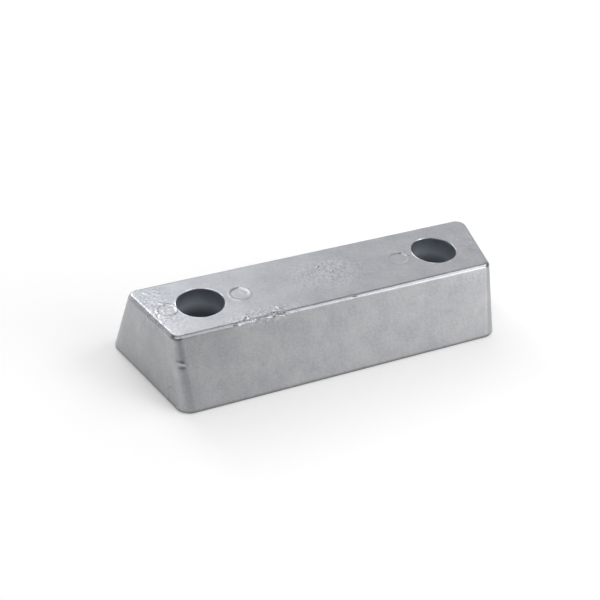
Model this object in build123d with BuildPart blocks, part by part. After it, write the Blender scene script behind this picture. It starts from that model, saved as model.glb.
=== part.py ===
from build123d import *

import os
from math import hypot, radians, tan

# A bar-shaped sacrificial anode: one zinc casting that is bolted flat against a hull.
#
# Sizes are in millimetres. The origin is the middle of the mounting face, +X runs along the bar,
# +Y points to its longer rear edge, and +Z points out of the mounting face towards the bolt heads.

# Mounting face, seen from above: a trapezoid whose two ends splay apart towards the rear.
rear_length = 158.0
front_length = 134.0
base_width = 54.6
base_corner_radius = 6.2
base_edge_radius = 0.9

# The block narrows on all four sides as it rises, so that it leaves its mould.
height = 29.0
side_draft = 19.6
end_draft = 4.8
top_corner_radius = 4.0
top_edge_radius = 1.8

# Two bolt holes. Each has a wide recess for the bolt's head, with the draft of the pin that cast it.
hole_spacing = 100.0
recess_diameter = 18.0
recess_draft = 1.0
recess_mouth_radius = 0.4
bolt_hole_diameter = 11.0
seat_thickness = 10.0

# Round marks that the mould's ejector pins left in the top face, on the line of the holes. Each
# stands off the rim of a recess by its land.
inner_mark_diameter = 7.6
inner_mark_land = 3.2
outer_mark_diameter = 6.0
outer_mark_land = 1.2
mark_depth = 0.3

# Worked out from the sizes above.
base_half_length = (rear_length + front_length) / 4
end_splay = (rear_length - front_length) / 2 / base_width
inner_rim = (hole_spacing - recess_diameter) / 2
outer_rim = (hole_spacing + recess_diameter) / 2
inner_mark_place = inner_rim - inner_mark_land - inner_mark_diameter / 2
outer_mark_place = outer_rim + outer_mark_land + outer_mark_diameter / 2


def plan_corners(level):
    """The block's four sharp corners at a height, anticlockwise from front left."""
    half_width = base_width / 2 - level * tan(radians(side_draft))
    half_length = base_half_length - level * tan(radians(end_draft)) * hypot(1, end_splay)
    front = half_length - half_width * end_splay
    rear = half_length + half_width * end_splay
    return [(-front, -half_width), (front, -half_width), (rear, half_width), (-rear, half_width)]


def corner_waste(level, radius):
    """What rounding the four corners takes off the plan at a height: a small face for each."""
    with BuildSketch(Plane.XY.offset(level)) as rounded_plan:
        Polygon(*plan_corners(level), align=None)
        fillet(rounded_plan.vertices(), radius)
    with BuildSketch(Plane.XY.offset(level)) as waste:
        Polygon(*plan_corners(level), align=None)
        add(rounded_plan.sketch_local, mode=Mode.SUBTRACT)
    return waste.sketch.faces()


def both_sides(place):
    """Places on the line of the holes, one on each side of the middle."""
    return [(-place, 0), (place, 0)]


base_waste = corner_waste(0, base_corner_radius)
top_waste = corner_waste(height, top_corner_radius)

with BuildPart() as anode_bar:
    # The block, drafted from the mounting face upwards.
    with BuildSketch(Plane.XY):
        Polygon(*plan_corners(0), align=None)
    extrude(amount=height)
    draft(anode_bar.faces().filter_by(Axis.Y), Plane.XY, side_draft)
    end_faces = anode_bar.faces().sort_by(Axis.X)
    draft([end_faces[0], end_faces[-1]], Plane.XY, end_draft)

    # Its upright corners, whose rounding tightens towards the top.
    for base_corner in base_waste:
        top_corner = top_waste.sort_by_distance(base_corner)[0]
        loft([base_corner, top_corner], mode=Mode.SUBTRACT)

    # Its edges round the top face and the mounting face.
    fillet(anode_bar.faces().sort_by(Axis.Z)[-1].edges(), top_edge_radius)
    fillet(anode_bar.faces().sort_by(Axis.Z)[0].edges(), base_edge_radius)

    # Recesses for the bolt heads, with rounded mouths.
    with BuildSketch(Plane.XY.offset(height)):
        with Locations(both_sides(hole_spacing / 2)):
            Circle(recess_diameter / 2)
    extrude(amount=seat_thickness - height, taper=recess_draft, mode=Mode.SUBTRACT)
    mouths = anode_bar.edges().filter_by(GeomType.CIRCLE).filter_by_position(Axis.Z, height, height)
    fillet(mouths, recess_mouth_radius)

    # Bolt holes through the seats.
    with BuildSketch(Plane.XY):
        with Locations(both_sides(hole_spacing / 2)):
            Circle(bolt_hole_diameter / 2)
    extrude(amount=seat_thickness, mode=Mode.SUBTRACT)

    # Ejector-pin marks.
    with BuildSketch(Plane.XY.offset(height)):
        with Locations(both_sides(inner_mark_place)):
            Circle(inner_mark_diameter / 2)
        with Locations(both_sides(outer_mark_place)):
            Circle(outer_mark_diameter / 2)
    extrude(amount=-mark_depth, mode=Mode.SUBTRACT)

anode_bar.part.label = "anode_bar"

os.makedirs("parts", exist_ok=True)
export_step(anode_bar.part, "parts/anode_bar.step")
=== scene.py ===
"""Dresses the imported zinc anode: its as-cast surface, a white studio round it and the camera."""

from math import cos, hypot, pi, radians, sin, tan

import bpy
import numpy as np
from mathutils import Matrix, Vector, geometry, noise


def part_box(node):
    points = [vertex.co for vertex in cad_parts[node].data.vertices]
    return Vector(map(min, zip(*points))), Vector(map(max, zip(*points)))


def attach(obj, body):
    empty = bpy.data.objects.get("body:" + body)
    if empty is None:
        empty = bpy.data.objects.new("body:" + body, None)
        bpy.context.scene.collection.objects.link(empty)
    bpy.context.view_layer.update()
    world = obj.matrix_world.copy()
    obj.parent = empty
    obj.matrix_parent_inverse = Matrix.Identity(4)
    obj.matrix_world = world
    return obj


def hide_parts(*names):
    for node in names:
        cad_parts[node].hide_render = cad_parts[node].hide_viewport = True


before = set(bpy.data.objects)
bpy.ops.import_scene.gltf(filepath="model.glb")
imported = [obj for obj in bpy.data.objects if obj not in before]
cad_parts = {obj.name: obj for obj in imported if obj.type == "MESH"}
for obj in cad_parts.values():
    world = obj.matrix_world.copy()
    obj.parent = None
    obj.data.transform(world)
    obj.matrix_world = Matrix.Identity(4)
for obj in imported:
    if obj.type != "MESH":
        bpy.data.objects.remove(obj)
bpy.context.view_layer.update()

# The casting is worked out in millimetres and its mesh is made in metres. Its height is the imported
# part's. Its other sizes are those of its source, apart from the rounding of the top edge, which is
# 1.8 mm all round there, and the pin marks, which are plain recesses there, 0.3 mm deep, and only on
# the top.
MM = 0.001

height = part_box("anode_bar")[1][2] / MM
rear_length = 158.0
front_length = 134.0
base_width = 54.6
base_corner_radius = 6.2
base_edge_radius = 0.9
side_draft = radians(19.6)
end_draft = radians(4.8)
top_corner_radius = 4.0
side_edge_radius = 1.6
end_edge_radius = 2.0
hole_places = (-50.0, 50.0)
recess_radius = 9.0
recess_draft = radians(1.0)
mouth_radius = 0.4
bolt_hole_radius = 5.5
seat_height = 10.0

# Round marks of the mould's pins: centre, radius, depth and the height of the lip round them. Four
# are in the top face, on the line of the holes, and one is low on the left end.
pin_marks = (
    ((-63.2, 0.0, 29.0), 3.4, 0.12, 0.14),
    ((-34.2, 0.2, 29.0), 3.8, 0.16, 0.11),
    ((34.0, 0.0, 29.0), 3.8, 0.08, 0.05),
    ((63.2, 0.0, 29.0), 3.0, 0.04, 0.00),
    ((-68.2, -19.0, 3.8), 4.0, 0.22, 0.16),
)

# The width of a mark's wall, how uneven its lip is, how far its outline strays, and the share of
# its depth that its floor swells by.
mark_wall = 0.25
lip_unevenness = 0.9
outline_unevenness = 0.12
floor_swelling = 0.35

# Ridges and grooves that the casting came out of its mould with: start, end, half width and depth.
# A depth below zero stands out of the surface.
flaws = (
    # Burrs and broken places along the front top edge, from left to right.
    ((-43.0, -17.2, 28.7), (-41.7, -17.5, 28.1), 0.42, -0.30),
    ((-39.6, -15.8, 29.0), (-37.2, -13.8, 29.0), 0.28, -0.26),
    ((-37.2, -13.8, 29.0), (-36.9, -16.3, 29.0), 0.28, -0.26),
    ((-36.9, -16.6, 28.9), (-35.0, -16.8, 28.8), 0.34, -0.20),
    ((-33.9, -17.0, 28.5), (-30.2, -17.1, 28.4), 0.42, -0.24),
    ((-28.9, -16.0, 29.0), (-26.9, -15.9, 29.0), 0.42, 0.40),
    ((-27.2, -17.0, 28.5), (-24.2, -17.5, 27.8), 0.50, -0.34),
    ((-26.6, -14.7, 29.0), (-26.1, -15.6, 29.0), 0.28, -0.26),
    ((-24.5, -12.6, 29.0), (-24.2, -13.8, 29.0), 0.28, -0.24),
    ((-24.9, -16.2, 28.9), (-23.6, -17.2, 28.3), 0.34, 0.40),
    ((4.6, -16.2, 28.9), (6.0, -16.9, 28.7), 0.40, 0.30),
    # A cold shut that creases the front left corner: a low ridge over a notch.
    ((-66.4, -19.0, 19.2), (-64.3, -20.4, 18.9), 0.34, -0.15),
    ((-64.3, -20.4, 18.9), (-62.1, -21.1, 17.7), 0.32, -0.13),
    ((-65.8, -19.9, 18.0), (-64.0, -20.7, 18.0), 0.50, 0.14),
    # The middle of the top, the right end's edge and the front.
    ((0.9, 5.9, 29.0), (1.7, 6.3, 29.0), 0.32, -0.24),
    ((5.0, 1.4, 29.0), (5.5, 1.7, 29.0), 0.30, -0.20),
    ((33.6, 3.7, 29.0), (36.3, 3.2, 29.0), 0.30, -0.18),
    ((37.2, 2.2, 29.0), (38.4, 0.4, 29.0), 0.28, -0.18),
    ((68.0, 1.2, 28.9), (68.8, -0.4, 28.7), 0.40, 0.22),
    ((58.2, -18.2, 25.7), (58.6, -18.5, 24.8), 0.40, -0.08),
    # Flecks at the left end of the top.
    ((-64.6, 12.1, 29.0), (-62.4, 10.5, 29.0), 0.28, -0.22),
    ((-67.4, 13.3, 29.0), (-66.0, 11.9, 29.0), 0.34, -0.20),
    ((-63.2, 13.3, 29.0), (-61.9, 12.7, 29.0), 0.28, -0.16),
    ((-64.2, 4.8, 29.0), (-62.3, 4.2, 29.0), 0.28, -0.18),
    ((-67.2, -1.3, 29.0), (-67.8, -3.4, 29.0), 0.28, 0.16),
    ((-64.6, 0.4, 29.0), (-64.2, -0.3, 29.0), 0.34, -0.18),
)

# The top lies this much below the drawn height, so that the burrs on it stay under that height.
# The seats in the holes face up as well, and sink with it.
top_sink = 0.14

# Waves in the skin: depth, length and seed.
skin_waves = ((0.05, 17.0, 1), (0.012, 5.0, 2), (0.010, 1.6, 3))

# Lumps of noise: size and seed.
rough_lumps = (1.1, 4)
lip_lumps = (1.2, 11)
outline_lumps = (2.2, 12)

# Patches of the top where the skin is rougher: centre, reach along X and along Y, and how rough.
rough_patches = (
    ((-66.0, 1.0), (7.5, 13.0), 1.0),
    ((3.0, 1.0), (13.0, 9.0), 0.8),
    ((-31.0, -15.0), (14.0, 3.5), 1.0),
    ((66.0, 2.0), (4.0, 12.0), 0.3),
)
patch_thickness = 3.0
patch_border = (1.5, 0.5)

# How rough the skin is elsewhere, how deep the roughest is, and how far it is let in as a whole.
plain_roughness = 0.15
rough_depth = 0.035
rough_base = 0.6

# Where the relief goes: it fades in over the foot, it takes a surface as top by how far its normal
# points up, and only a share of it reaches the walls of the holes.
foot_fade = 1.5
top_facing = 0.3
top_facing_range = 0.4
flat_facing = 0.9
hole_margin = 0.6
hole_relief_share = 0.35

# How finely the surface is divided: the sides that show more finely than the rear and the right.
front_step = 0.38
hidden_step = 0.70
left_end_step = 0.42
corner_columns = 20
wall_rows = 52
top_round_rows = 9
base_round_rows = 6
top_step = 0.62
rough_step = 0.30
base_step = 2.2
hole_columns = 108
mouth_rows = 5
recess_rows = 26
bolt_hole_rows = 8
seat_rows = 5

# How near an edge or a ring a point of a flat face may stand, as a share of its step, and how
# rough a patch is that gets the finer step.
least_gap = 0.6
finely_divided = 0.5

# Rings of extra points. Those beside a hole are given by their distance from its mouth, and those
# of a mark by their distance from its outline, in widths of its wall.
hole_ring_offsets = (0.3, 0.75)
hole_ring_spacing = 0.45
mark_ring_offsets = (-1.5, -0.6, 0.0, 0.6, 1.5, 2.6)
mark_ring_spacing = 0.30


def unit(angle):
    """Unit vector in the plan at an angle, which may be an array of angles."""
    return np.stack([np.cos(angle), np.sin(angle)], axis=-1)


def smooth_step(value):
    """0 below 0, 1 above 1, and a smooth rise between."""
    value = np.clip(value, 0, 1)
    return value * value * (3 - 2 * value)


# --- The casting's outline ------------------------------------------------------------------------

end_splay = (rear_length - front_length) / 2 / base_width
base_half_length = (rear_length + front_length) / 4


def plan_corners(level):
    """The four sharp corners of the plan at a height, anticlockwise from front left."""
    half_width = base_width / 2 - level * tan(side_draft)
    half_length = base_half_length - level * tan(end_draft) * hypot(1, end_splay)
    front = half_length - half_width * end_splay
    rear = half_length + half_width * end_splay
    return np.array(
        [(-front, -half_width), (front, -half_width), (rear, half_width), (-rear, half_width)]
    )


def outline(level, radius, side_columns):
    """Points and outward angles round the rounded plan at a height, anticlockwise from front left.

    Each corner gives corner_columns points and each side gives its own number, so that a column
    lies on the same corner or side at every height.
    """
    corners = plan_corners(level)
    ways = np.roll(corners, -1, axis=0) - corners
    ways /= np.linalg.norm(ways, axis=1)[:, None]
    angles = np.arctan2(-ways[:, 0], ways[:, 1])
    turns = (angles - np.roll(angles, 1)) % (2 * pi)
    insets = radius * np.tan(turns / 2)
    points = []
    outward = []
    for side in range(4):
        start = corners[side] + ways[side] * insets[side]
        end = corners[(side + 1) % 4] - ways[side] * insets[(side + 1) % 4]
        centre = start - radius * unit(angles[side])
        sweep = angles[side] - turns[side] * np.arange(corner_columns, 0, -1) / corner_columns
        share = np.arange(side_columns[side]) / side_columns[side]
        points += [centre + radius * unit(sweep), start + (end - start) * share[:, None]]
        outward += [sweep, np.full(side_columns[side], angles[side])]
    return np.concatenate(points), np.concatenate(outward)


side_lengths = (front_length, base_width, rear_length, base_width)
side_steps = (front_step, hidden_step, hidden_step, left_end_step)
side_columns = [round(length / step) for length, step in zip(side_lengths, side_steps)]
base_plan, column_angles = outline(0, base_corner_radius, side_columns)
top_plan, _ = outline(height, top_corner_radius, side_columns)
column_ways = unit(column_angles)

# The wall of each column leans in by its own draft, which changes round the corners, and the top
# edge is rounder along the ends than along the sides.
end_blend = 1.6
leans = np.arctan(-np.sum((top_plan - base_plan) * column_ways, axis=1) / height)
endness = smooth_step(np.abs(column_ways[:, 0]) * end_blend)
top_radii = side_edge_radius + (end_edge_radius - side_edge_radius) * endness


def wall_plan(levels):
    """Plan points of the wall, with a height for each column."""
    return base_plan + (top_plan - base_plan) * (levels / height)[:, None]


def edge_round(radius, middle, joint, tilts):
    """A row of an edge's round, between the wall and a flat face.

    middle is the height of the round's centre, joint the heights where it meets the wall, and
    tilts how far each column's normal points up.
    """
    out = radius * (np.cos(tilts) - np.cos(leans))
    return wall_plan(joint) + column_ways * out[:, None], middle + radius * np.sin(tilts), tilts


def outer_rows():
    """Rows of points and normals up the outside, from the mounting face to the top face."""
    foot = base_edge_radius * (1 + np.sin(leans))
    shoulder = height - top_radii * (1 - np.sin(leans))
    rows = []
    for share in np.arange(base_round_rows) / base_round_rows:
        tilts = -pi / 2 + (leans + pi / 2) * share
        rows.append(edge_round(base_edge_radius, base_edge_radius, foot, tilts))
    for share in np.arange(wall_rows) / wall_rows:
        levels = foot + (shoulder - foot) * share
        rows.append((wall_plan(levels), levels, leans))
    for share in np.arange(top_round_rows + 1) / top_round_rows:
        tilts = leans + (pi / 2 - leans) * share
        rows.append(edge_round(top_radii, height - top_radii, shoulder, tilts))
    return [
        (
            np.column_stack([plan, levels]),
            np.column_stack([column_ways * np.cos(tilts)[:, None], np.sin(tilts)]),
        )
        for plan, levels, tilts in rows
    ]


def hole_rows(place):
    """Rows down a bolt hole: its rounded mouth, drafted recess, seat and straight hole."""
    narrowing = tan(recess_draft)
    tilt = pi - recess_draft
    mouth_middle = recess_radius - mouth_radius * (cos(tilt) + (1 - sin(tilt)) * narrowing)
    profile = []
    for share in np.arange(mouth_rows) / mouth_rows:
        turn = pi / 2 + (tilt - pi / 2) * share
        level = height - mouth_radius * (1 - sin(turn))
        profile.append((mouth_middle + mouth_radius * cos(turn), level, turn))
    rim = height - mouth_radius * (1 - sin(tilt))
    for level in np.linspace(rim, seat_height, recess_rows + 1):
        profile.append((recess_radius - (height - level) * narrowing, level, tilt))
    for radius in np.linspace(profile[-1][0], bolt_hole_radius, seat_rows + 1)[1:]:
        profile.append((radius, seat_height, pi / 2))
    for level in np.linspace(seat_height, 0, bolt_hole_rows + 1)[1:]:
        profile.append((bolt_hole_radius, level, pi))
    around = unit(np.arange(hole_columns) * 2 * pi / hole_columns)
    rows = []
    for radius, level, turn in profile:
        plan = np.array([place, 0]) + around * radius
        points = np.column_stack([plan, np.full(hole_columns, level)])
        rows.append((points, np.column_stack([around * cos(turn), np.full(hole_columns, sin(turn))])))
    return rows


# --- A surface that is gathered piece by piece ----------------------------------------------------


class Surface:
    """Points, normals and faces of the casting as they are added."""

    def __init__(self):
        self.points = np.zeros((0, 3))
        self.normals = np.zeros((0, 3))
        self.faces = []

    def add(self, points, normals):
        """Adds points and returns their indices."""
        indices = np.arange(len(self.points), len(self.points) + len(points))
        self.points = np.concatenate([self.points, points])
        self.normals = np.concatenate([self.normals, normals])
        return indices

    def bands(self, rows):
        """Adds closed rows one above the other, with quads between them, and returns their indices."""
        rows = [self.add(points, normals) for points, normals in rows]
        for lower, upper in zip(rows, rows[1:]):
            quads = np.stack([lower, np.roll(lower, -1), np.roll(upper, -1), upper], axis=1)
            self.faces += quads.tolist()
        return rows

    def cap(self, outer, holes, step, patches=(), rings=()):
        """Fills a flat face between the row round it and the rows of its holes.

        patches are rectangles with a finer step of their own: low corner, high corner and step.
        rings are circles of extra points, as a centre, a radius and a spacing, which keep the
        triangles even beside a hole or a mark.
        """
        edge = self.points[outer]
        field = SpacedPoints(hex_grid(step, edge[:, :2].min(axis=0), edge[:, :2].max(axis=0)), step)
        for low, high, patch_step in patches:
            field.keep(np.any((field.plan < low) | (field.plan > high), axis=1))
            field.add(hex_grid(patch_step, low, high), patch_step)
        for centre, radius, spacing in rings:
            field.keep_off(centre, radius)
            count = round(2 * pi * radius / spacing)
            field.add(centre + radius * unit(np.arange(count) * 2 * pi / count), spacing)
        centres = [self.points[hole][:, :2].mean(axis=0) for hole in holes]
        radii = [
            np.linalg.norm(self.points[hole[0]][:2] - centre) for hole, centre in zip(holes, centres)
        ]
        for centre, radius in zip(centres, radii):
            away = np.linalg.norm(field.plan - centre, axis=1)
            field.keep(away > radius + field.steps * least_gap)
        field.keep(depth_inside(field.plan, edge[:, :2]) > field.steps * least_gap)
        known = np.concatenate([outer] + holes)
        loops = []
        for loop in [outer] + holes:
            first = len(loops)
            loops += [(first + i, first + (i + 1) % len(loop)) for i in range(len(loop))]
        plan = np.concatenate([self.points[known][:, :2], field.plan])
        result = geometry.delaunay_2d_cdt([Vector(p) for p in plan.tolist()], loops, [], 1, 1e-4)
        triangles = np.array(result[2])
        for centre, radius in zip(centres, radii):
            middles = plan[triangles].mean(axis=1)
            triangles = triangles[np.linalg.norm(middles - centre, axis=1) > radius]
        levels = np.full(len(field.plan), edge[0, 2])
        normals = np.tile(self.normals[outer[0]].round(), (len(field.plan), 1))
        indices = np.concatenate([known, self.add(np.column_stack([field.plan, levels]), normals)])
        if normals[0, 2] < 0:
            triangles = triangles[:, ::-1]
        self.faces += indices[triangles].tolist()


class SpacedPoints:
    """Plan points that each know how far apart they stand. They keep least_gap of that clear."""

    def __init__(self, plan, step):
        self.plan = plan
        self.steps = np.full(len(plan), step)

    def add(self, plan, step):
        """Adds points that stand a step apart."""
        self.plan = np.concatenate([self.plan, plan])
        self.steps = np.concatenate([self.steps, np.full(len(plan), step)])

    def keep(self, chosen):
        """Drops the points that aren't chosen."""
        self.plan = self.plan[chosen]
        self.steps = self.steps[chosen]

    def keep_off(self, centre, radius):
        """Drops the points that are too near a circle."""
        beside = np.abs(np.linalg.norm(self.plan - centre, axis=1) - radius)
        self.keep(beside > self.steps * least_gap)


def hex_grid(step, low, high):
    """Evenly spread points over a rectangle, in staggered rows."""
    rows = []
    for number, y in enumerate(np.arange(low[1], high[1], step * sin(pi / 3))):
        x = np.arange(low[0], high[0], step) + (number % 2) * step / 2
        rows.append(np.column_stack([x, np.full(len(x), y)]))
    return np.concatenate(rows)


def depth_inside(points, ring):
    """How far each point lies inside a ring that runs anticlockwise, from the ring's nearest side."""
    ways = np.roll(ring, -1, axis=0) - ring
    middles = ring + ways / 2
    ways /= np.linalg.norm(ways, axis=1)[:, None]
    nearest = np.full(len(points), np.inf)
    depth = np.zeros(len(points))
    for middle, way in zip(middles, ways):
        offset = points - middle
        away = np.linalg.norm(offset, axis=1)
        closer = away < nearest
        nearest[closer] = away[closer]
        depth[closer] = (way[0] * offset[:, 1] - way[1] * offset[:, 0])[closer]
    return depth


def drawn_form():
    """The casting's surface before the mould and the metal leave their traces on it."""
    surface = Surface()
    outside = surface.bands(outer_rows())
    holes = [surface.bands(hole_rows(place)) for place in hole_places]
    patches = []
    for centre, reach, strength in rough_patches:
        if strength > finely_divided:
            patches.append((np.subtract(centre, reach), np.add(centre, reach), rough_step))
    rings = []
    for place in hole_places:
        for offset in hole_ring_offsets:
            radius = recess_radius + mouth_radius + offset
            rings.append((np.array([place, 0]), radius, hole_ring_spacing))
    for centre, radius, _, _ in pin_marks:
        if centre[2] > height / 2:
            for offset in mark_ring_offsets:
                ring_radius = radius + offset * mark_wall
                rings.append((np.array(centre[:2]), ring_radius, mark_ring_spacing))
    surface.cap(outside[-1], [rows[0] for rows in holes], top_step, patches, rings)
    surface.cap(outside[0], [rows[-1] for rows in holes], base_step)
    return surface


# --- Relief: how the casting departs from its drawn form ------------------------------------------


def cloud(points, size, seed):
    """Smooth noise of about -1 to 1, with lumps of a given size. A seed always gives the same."""
    shift = Vector((seed * 7.3, seed * 3.1, seed * 5.7))
    return np.array([noise.noise(Vector(p) / size + shift) for p in points.tolist()])


def away_from(points, start, end):
    """Distance of each point from a straight stretch between two places."""
    start = np.array(start)
    run = np.array(end) - start
    share = np.clip((points - start) @ run / (run @ run), 0, 1)
    return np.linalg.norm(points - start - share[:, None] * run, axis=1)


def mark_depths(points):
    """Depth of the pin marks: a nearly flat floor, a steep wall and an uneven lip round it."""
    depth = np.zeros(len(points))
    uneven = 1 + lip_unevenness * cloud(points, *lip_lumps)
    for centre, radius, sunk, lip in pin_marks:
        away = np.linalg.norm(points - np.array(centre), axis=1)
        away += outline_unevenness * cloud(points, *outline_lumps)
        depth += sunk * np.clip((radius - away) / mark_wall + 0.5, 0, 1)
        depth -= floor_swelling * sunk * np.exp(-(((away - radius * 0.45) / (radius * 0.3)) ** 2))
        depth -= lip * uneven * np.exp(-(((away - radius - mark_wall) / (1.4 * mark_wall)) ** 2))
    return depth


def relief(points, normals):
    """How far each point is let into the drawn form."""
    depth = np.zeros(len(points))
    for wave_depth, length, seed in skin_waves:
        depth += wave_depth * (1 + cloud(points, length, seed))
    rough = np.full(len(points), plain_roughness)
    on_top = smooth_step((normals[:, 2] - top_facing) / top_facing_range)
    for centre, reach, strength in rough_patches:
        offset = (points[:, :2] - np.array(centre)) / np.array(reach)
        rough += on_top * strength * np.exp(-np.sum(offset * offset, axis=1))
    grain = rough_base + cloud(points, *rough_lumps)
    depth += rough_depth * rough * grain + top_sink * on_top
    for start, end, half_width, sunk in flaws:
        away = away_from(points, start, end) / half_width
        depth += sunk * np.exp(-away * away)
    depth += mark_depths(points)
    # The mounting face stays flat, so that the casting seats.
    kept = smooth_step(points[:, 2] / foot_fade)
    for place in hole_places:
        away = np.hypot(points[:, 0] - place, points[:, 1])
        hole_wall = (away < recess_radius + hole_margin) & (normals[:, 2] < flat_facing)
        kept *= np.where(hole_wall, hole_relief_share, 1.0)
    return depth * kept


def anode_mesh():
    """The finished casting, in metres, smooth but for its sharpest edges."""
    surface = drawn_form()
    points = surface.points - surface.normals * relief(surface.points, surface.normals)[:, None]
    points[:, 2] = np.clip(points[:, 2], 0, height)
    mesh = bpy.data.meshes.new("anode_casting")
    mesh.from_pydata((points * MM).tolist(), [], surface.faces)
    mesh.shade_smooth()
    mesh.set_sharp_from_angle(angle=radians(50))
    return mesh


# --- Materials ------------------------------------------------------------------------------------


class Nodes:
    """A short way to write a node tree."""

    def __init__(self, tree):
        self.tree = tree
        tree.nodes.clear()

    def add(self, kind, inputs, **settings):
        """Adds a node with its settings, and sets each input or links it to another socket."""
        node = self.tree.nodes.new("ShaderNode" + kind)
        for name, value in settings.items():
            setattr(node, name, value)
        for name, value in inputs.items():
            if isinstance(value, bpy.types.NodeSocket):
                self.tree.links.new(value, node.inputs[name])
            else:
                node.inputs[name].default_value = value
        return node.outputs

    def math(self, operation, first, second=0.0, **settings):
        return self.add("Math", {0: first, 1: second}, operation=operation, **settings)[0]

    def vector(self, operation, first, second):
        return self.add("VectorMath", {0: first, 1: second}, operation=operation)["Vector"]

    def remap(self, value, low, high, to_low=0.0, to_high=1.0):
        inputs = {"Value": value, "From Min": low, "From Max": high}
        inputs.update({"To Min": to_low, "To Max": to_high})
        return self.add("MapRange", inputs)["Result"]

    def noise(self, where, size, detail=2.0, roughness=0.5):
        """Noise of 0 to 1 with lumps of a given size in metres."""
        inputs = {"Vector": where, "Scale": 1 / size, "Detail": detail, "Roughness": roughness}
        return self.add("TexNoise", inputs)["Fac"]

    def mix(self, share, first, second):
        """Mixes two colours."""
        inputs = {"Factor": share, 6: first, 7: second}
        return self.add("Mix", inputs, data_type="RGBA")[2]


# The zinc's darker and paler blotches, and the tints that the walls and the top multiply them by. The
# tints are painted light: a warm cast on the walls and a cool one on the top, as the light gives each
# face.
dark_zinc = (0.36, 0.367, 0.388, 1)
pale_zinc = (0.415, 0.42, 0.435, 1)
wall_painted_tint = (1.008, 1.0, 0.99, 1)
top_painted_tint = (0.988, 1.0, 1.02, 1)

# The walls of the holes, in painted light and painted shade. High up they are painted paler than the
# zinc, to match their tone under these softboxes, and they darken to a painted shade between two
# depths below the top.
hole_painted_shade_colour = (0.26, 0.28, 0.31, 1)
hole_painted_light_colour = (0.72, 0.76, 0.82, 1)
painted_light_to_depth = 7
painted_shade_from_depth = 11.5
hole_roughness = 0.6

# Sizes of the lumps in the zinc's noise, in millimetres, and the sharpness of some borders.
blotch_size = 9
speckle_size = 0.75
streak_size = 1.4
streak_squeeze = 0.12
rim_wear_and_highlight_size = 5
satin_size = 4
grain_size = 0.67
grain_height = 0.08
top_border = (1.2, 0.6)
hole_border = 0.1
foot_shade_border = (1.7, 0.5)
rim_border = (0.40, 0.15)

# The stretches of a noise's 0 to 1 that are spread out.
narrow_noise = (0.35, 0.65)
wide_noise = (0.3, 0.7)
rim_noise = (0.45, 0.65)
speckle_reach = (-0.8, 1.2)

# How strongly each shows: as a share of the tone, or from the plain skin to the rough one.
speckle_strength = (0.07, 0.30)
streak_strength = 0.035
# A painted shade along the bottom edge, where the foot meets its shadow.
foot_painted_shade = 0.6
# The rims of the holes are brightened partly as wear and partly as a painted highlight.
rim_wear_and_highlight_strength = 0.9
satin_roughness = (0.28, 0.34)
grain_strength = (0.4, 1.0)


def rough_share(nodes, where):
    """0 away from the rough patches of the top, and up to 1 in the roughest."""
    rough = 0.0
    for (x, y), (reach_x, reach_y), strength in rough_patches:
        offset = nodes.vector("SUBTRACT", where, Vector((x, y, height)) * MM)
        reach = Vector((reach_x, reach_y, patch_thickness)) * MM
        offset = nodes.vector("DIVIDE", offset, reach)
        away = nodes.add("VectorMath", {0: offset}, operation="LENGTH")["Value"]
        share = nodes.remap(away, *patch_border, 0.0, strength)
        rough = nodes.math("MAXIMUM", share, rough)
    return rough


def distance_from_hole(nodes, axes):
    """Distance from the axis of the nearer bolt hole."""
    from_middle = nodes.math("ABSOLUTE", axes["X"])
    from_hole = nodes.math("SUBTRACT", from_middle, hole_places[1] * MM)
    flat = nodes.add("CombineXYZ", {"X": from_hole, "Y": axes["Y"]})["Vector"]
    return nodes.add("VectorMath", {0: flat}, operation="LENGTH")["Value"]


def zinc_tone(nodes, where, axes, rough, on_top, from_axis):
    """What the colour is multiplied by: speckle, streaks down the walls, a painted shade along the
    foot, and rims of the holes brightened partly by wear and partly as a painted highlight.
    """
    speckle = nodes.noise(where, speckle_size * MM, 3.0, 0.6)
    speckle = nodes.remap(speckle, *narrow_noise, *speckle_reach)
    tone = nodes.math("MULTIPLY", speckle, nodes.remap(rough, 0.0, 1.0, *speckle_strength))
    drawn = nodes.vector("MULTIPLY", where, (1.0, 1.0, streak_squeeze))
    streaks = nodes.noise(drawn, streak_size * MM, 2.0)
    streaks = nodes.remap(streaks, *wide_noise, -streak_strength, streak_strength)
    on_wall = nodes.math("SUBTRACT", 1.0, on_top)
    tone = nodes.math("ADD", tone, nodes.math("MULTIPLY", streaks, on_wall))
    # A painted shade along the bottom edge, darker towards the foot.
    foot_shade_top, foot_shade_full = foot_shade_border
    foot = nodes.remap(axes["Z"], foot_shade_top * MM, foot_shade_full * MM, 0.0, foot_painted_shade)
    tone = nodes.math("SUBTRACT", tone, foot)
    # The rims of the holes on the top are brightened in patches, partly as wear and partly as a
    # painted highlight.
    from_rim = nodes.math("SUBTRACT", from_axis, (recess_radius + mouth_radius) * MM)
    rim_edge, rim_full = rim_border
    rim = nodes.remap(nodes.math("ABSOLUTE", from_rim), rim_edge * MM, rim_full * MM)
    rim_wear_and_highlight = nodes.noise(where, rim_wear_and_highlight_size * MM, 2.0)
    rim_wear_and_highlight = nodes.remap(rim_wear_and_highlight, *rim_noise, 0.0, rim_wear_and_highlight_strength)
    rim = nodes.math("MULTIPLY", nodes.math("MULTIPLY", rim, rim_wear_and_highlight), on_top)
    return nodes.math("ADD", nodes.math("ADD", tone, rim), 1.0)


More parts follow.
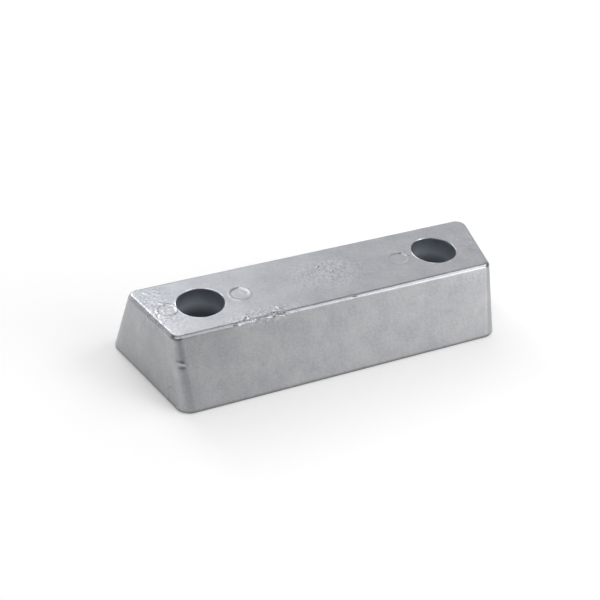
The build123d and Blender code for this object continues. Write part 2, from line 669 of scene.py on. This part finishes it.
def zinc_colour(nodes, where, axes, on_top, in_hole, tone):
    """Soft blotches in two tints, times each face's painted tint and the tone, and painted light high
    in the holes that darkens to painted shade lower down.
    """
    blotches = nodes.remap(nodes.noise(where, blotch_size * MM, 4.0, 0.6), *narrow_noise)
    colour = nodes.mix(blotches, dark_zinc, pale_zinc)
    # The walls and the top take a painted tint of the light that falls on them.
    colour = nodes.vector("MULTIPLY", colour, nodes.mix(on_top, wall_painted_tint, top_painted_tint))
    colour = nodes.add("VectorMath", {0: colour, "Scale": tone}, operation="SCALE")["Vector"]
    # Inside the holes the colour is painted light high up and painted shade lower down.
    low = (height - painted_shade_from_depth) * MM
    high = (height - painted_light_to_depth) * MM
    hole_painted_light_and_shade = nodes.mix(nodes.remap(axes["Z"], low, high), hole_painted_shade_colour, hole_painted_light_colour)
    return nodes.mix(in_hole, colour, hole_painted_light_and_shade)


def zinc_roughness(nodes, where, in_hole):
    """Satin that varies a little, and duller holes."""
    roughness = nodes.noise(where, satin_size * MM, 3.0)
    roughness = nodes.remap(roughness, *wide_noise, *satin_roughness)
    return nodes.math("MAXIMUM", roughness, nodes.math("MULTIPLY", in_hole, hole_roughness))


def zinc_grain(nodes, where, rough):
    """The fine grain, as a bump that is stronger where the skin is rough."""
    grain = nodes.noise(where, grain_size * MM, 3.0, 0.6)
    grain = nodes.math("MULTIPLY", grain, nodes.remap(rough, 0.0, 1.0, *grain_strength))
    inputs = {"Height": grain, "Distance": grain_height * MM, "Strength": 1.0}
    return nodes.add("Bump", inputs)["Normal"]


def as_cast_zinc():
    """As-cast zinc: satin grey with a fine grain, coarser where the skin is rough."""
    material = bpy.data.materials.new("as_cast_zinc")
    material.use_nodes = True
    nodes = Nodes(material.node_tree)
    where = nodes.add("TexCoord", {})["Object"]
    axes = nodes.add("SeparateXYZ", {"Vector": where})
    rough = rough_share(nodes, where)
    top_edge, top_full = top_border
    on_top = nodes.remap(axes["Z"], (height - top_edge) * MM, (height - top_full) * MM)
    from_axis = distance_from_hole(nodes, axes)
    outside = (recess_radius + hole_border) * MM
    inside = (recess_radius - hole_border) * MM
    in_hole = nodes.remap(from_axis, outside, inside)
    tone = zinc_tone(nodes, where, axes, rough, on_top, from_axis)
    inputs = {
        "Base Color": zinc_colour(nodes, where, axes, on_top, in_hole, tone),
        "Roughness": zinc_roughness(nodes, where, in_hole),
        "Normal": zinc_grain(nodes, where, rough),
        "Metallic": 1.0,
    }
    shader = nodes.add("BsdfPrincipled", inputs)
    nodes.add("OutputMaterial", {"Surface": shader[0]})
    return material


# --- The studio -----------------------------------------------------------------------------------

floor_half_size = 0.7
floor_colour = (0.8, 0.8, 0.8, 1)
floor_lift = 0.25

# The backdrop, by the way that a ray leaves the object: how bright it is, how far along +Y it
# begins and is full, and how far up it ends and is still full.
backdrop_level = 0.85
backdrop_front = (-0.1, 0.6)
backdrop_top = (0.8, 0.5)
lamp_distance = 1.2


def white_floor():
    """A matt white floor, which shows white to the camera and the metal but keeps the shadow."""
    mesh = bpy.data.meshes.new("floor")
    half = floor_half_size
    corners = [(-half, -half, 0), (half, -half, 0), (half, half, 0), (-half, half, 0)]
    mesh.from_pydata(corners, [], [(0, 1, 2, 3)])
    floor = bpy.data.objects.new("floor", mesh)
    bpy.context.collection.objects.link(floor)
    material = bpy.data.materials.new("white_floor")
    material.use_nodes = True
    nodes = Nodes(material.node_tree)
    path = nodes.add("LightPath", {})
    seen = nodes.math("ADD", path["Is Camera Ray"], path["Is Glossy Ray"])
    seen = nodes.math("ADD", seen, path["Is Transmission Ray"], use_clamp=True)
    paint = nodes.add("BsdfDiffuse", {"Color": floor_colour})
    glow = nodes.add("Emission", {"Strength": nodes.math("MULTIPLY", seen, floor_lift)})
    both = nodes.add("AddShader", {0: paint[0], 1: glow[0]})
    nodes.add("OutputMaterial", {"Surface": both[0]})
    mesh.materials.append(material)


def surround():
    """A white backdrop behind the object and a dark room in front of it.

    The camera and glass see white all round. The metal sees the backdrop where it would stand.
    """
    world = bpy.data.worlds.new("surround")
    world.use_nodes = True
    nodes = Nodes(world.node_tree)
    path = nodes.add("LightPath", {})
    way = nodes.add("TexCoord", {})["Generated"]
    axes = nodes.add("SeparateXYZ", {"Vector": way})
    behind = nodes.remap(axes["Y"], *backdrop_front)
    below_top = nodes.remap(axes["Z"], *backdrop_top)
    backdrop = nodes.math("MULTIPLY", behind, below_top)
    seen = nodes.math("ADD", path["Is Camera Ray"], path["Is Transmission Ray"], use_clamp=True)
    backdrop = nodes.math("MULTIPLY", backdrop, backdrop_level)
    level = nodes.math("MAXIMUM", backdrop, seen)
    light = nodes.add("Background", {"Color": (1, 1, 1, 1), "Strength": level})
    nodes.add("OutputWorld", {"Surface": light[0]})
    bpy.context.scene.world = world


def softbox(name, azimuth, elevation, size, power):
    """A square lamp that faces the object, at an azimuth clockwise from +Y seen from above."""
    lamp = bpy.data.lights.new(name, "AREA")
    lamp.size = size
    lamp.energy = power
    stand = bpy.data.objects.new(name, lamp)
    bpy.context.collection.objects.link(stand)
    flat = cos(radians(elevation))
    x = sin(radians(azimuth)) * flat
    y = cos(radians(azimuth)) * flat
    way = Vector((x, y, sin(radians(elevation))))
    stand.location = way * lamp_distance
    stand.rotation_euler = way.to_track_quat("Z", "Y").to_euler()


# Softboxes: azimuth, elevation, size in metres and power in watts. Their powers were fitted to the
# object's tones as the camera sees them. Seen from behind on the left, those at the front right
# glare on the top.
lamps = {
    "back_softbox": (0, 54, 0.62, 2.55),
    "back_right_softbox": (30, 35, 0.62, 0.45),
    "right_softbox": (100, 45, 0.62, 3.2),
    "front_right_low_softbox": (135, 10, 0.62, 2.5),
    "front_right_softbox": (137, 26, 0.45, 1.9),
    "front_right_high_softbox": (135, 54, 0.62, 1.4),
    "front_softbox": (150, 32, 0.62, 2.0),
    "front_low_softbox": (160, 3, 0.30, 0.34),
    "front_low_left_softbox": (186, 2, 0.30, 0.10),
    "front_high_softbox": (180, 60, 0.62, 0.7),
    "front_left_softbox": (222, 50, 0.62, 2.0),
    "left_softbox": (255, 28, 0.62, 0.6),
    "left_back_softbox": (300, 25, 0.62, 0.1),
    "back_left_softbox": (330, 35, 0.62, 0.3),
    "back_edge_softbox": (350, 32, 0.30, 2.2),
    "top_softbox": (0, 84, 0.80, 1.1),
}


# --- The camera, at the photograph's viewing angle ------------------------------------------------

camera_azimuth = radians(26.59)
camera_elevation = radians(35.31)
camera_roll = radians(3.09)
camera_distance = 467.1 * MM
camera_aim_right = -7.11 * MM
camera_aim_up = 13.90 * MM
camera_sensor = 36.0
camera_lens = 69.88


def photograph_camera():
    """The camera, whose aim is given along the picture's own right and up from the origin."""
    flat = cos(camera_elevation)
    forward = Vector((sin(camera_azimuth) * flat, cos(camera_azimuth) * flat, -sin(camera_elevation)))
    level = forward.cross(Vector((0, 0, 1))).normalized()
    upright = level.cross(forward)
    right = level * cos(camera_roll) + upright * sin(camera_roll)
    up = upright * cos(camera_roll) - level * sin(camera_roll)
    place = right * camera_aim_right + up * camera_aim_up - forward * camera_distance
    data = bpy.data.cameras.new("camera")
    data.sensor_width = camera_sensor
    data.lens = camera_lens
    data.clip_start = 0.01
    camera = bpy.data.objects.new("camera", data)
    bpy.context.collection.objects.link(camera)
    turn = Matrix((right, up, -forward)).transposed()
    camera.matrix_world = Matrix.Translation(place) @ turn.to_4x4()
    bpy.context.scene.camera = camera


casting_mesh = anode_mesh()
casting_mesh.materials.append(as_cast_zinc())
casting = bpy.data.objects.new("anode_casting", casting_mesh)
bpy.context.collection.objects.link(casting)
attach(casting, "root")
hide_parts("anode_bar")

white_floor()
surround()
for name, placing in lamps.items():
    softbox(name, *placing)
photograph_camera()
bpy.context.scene.view_settings.view_transform = "Standard"
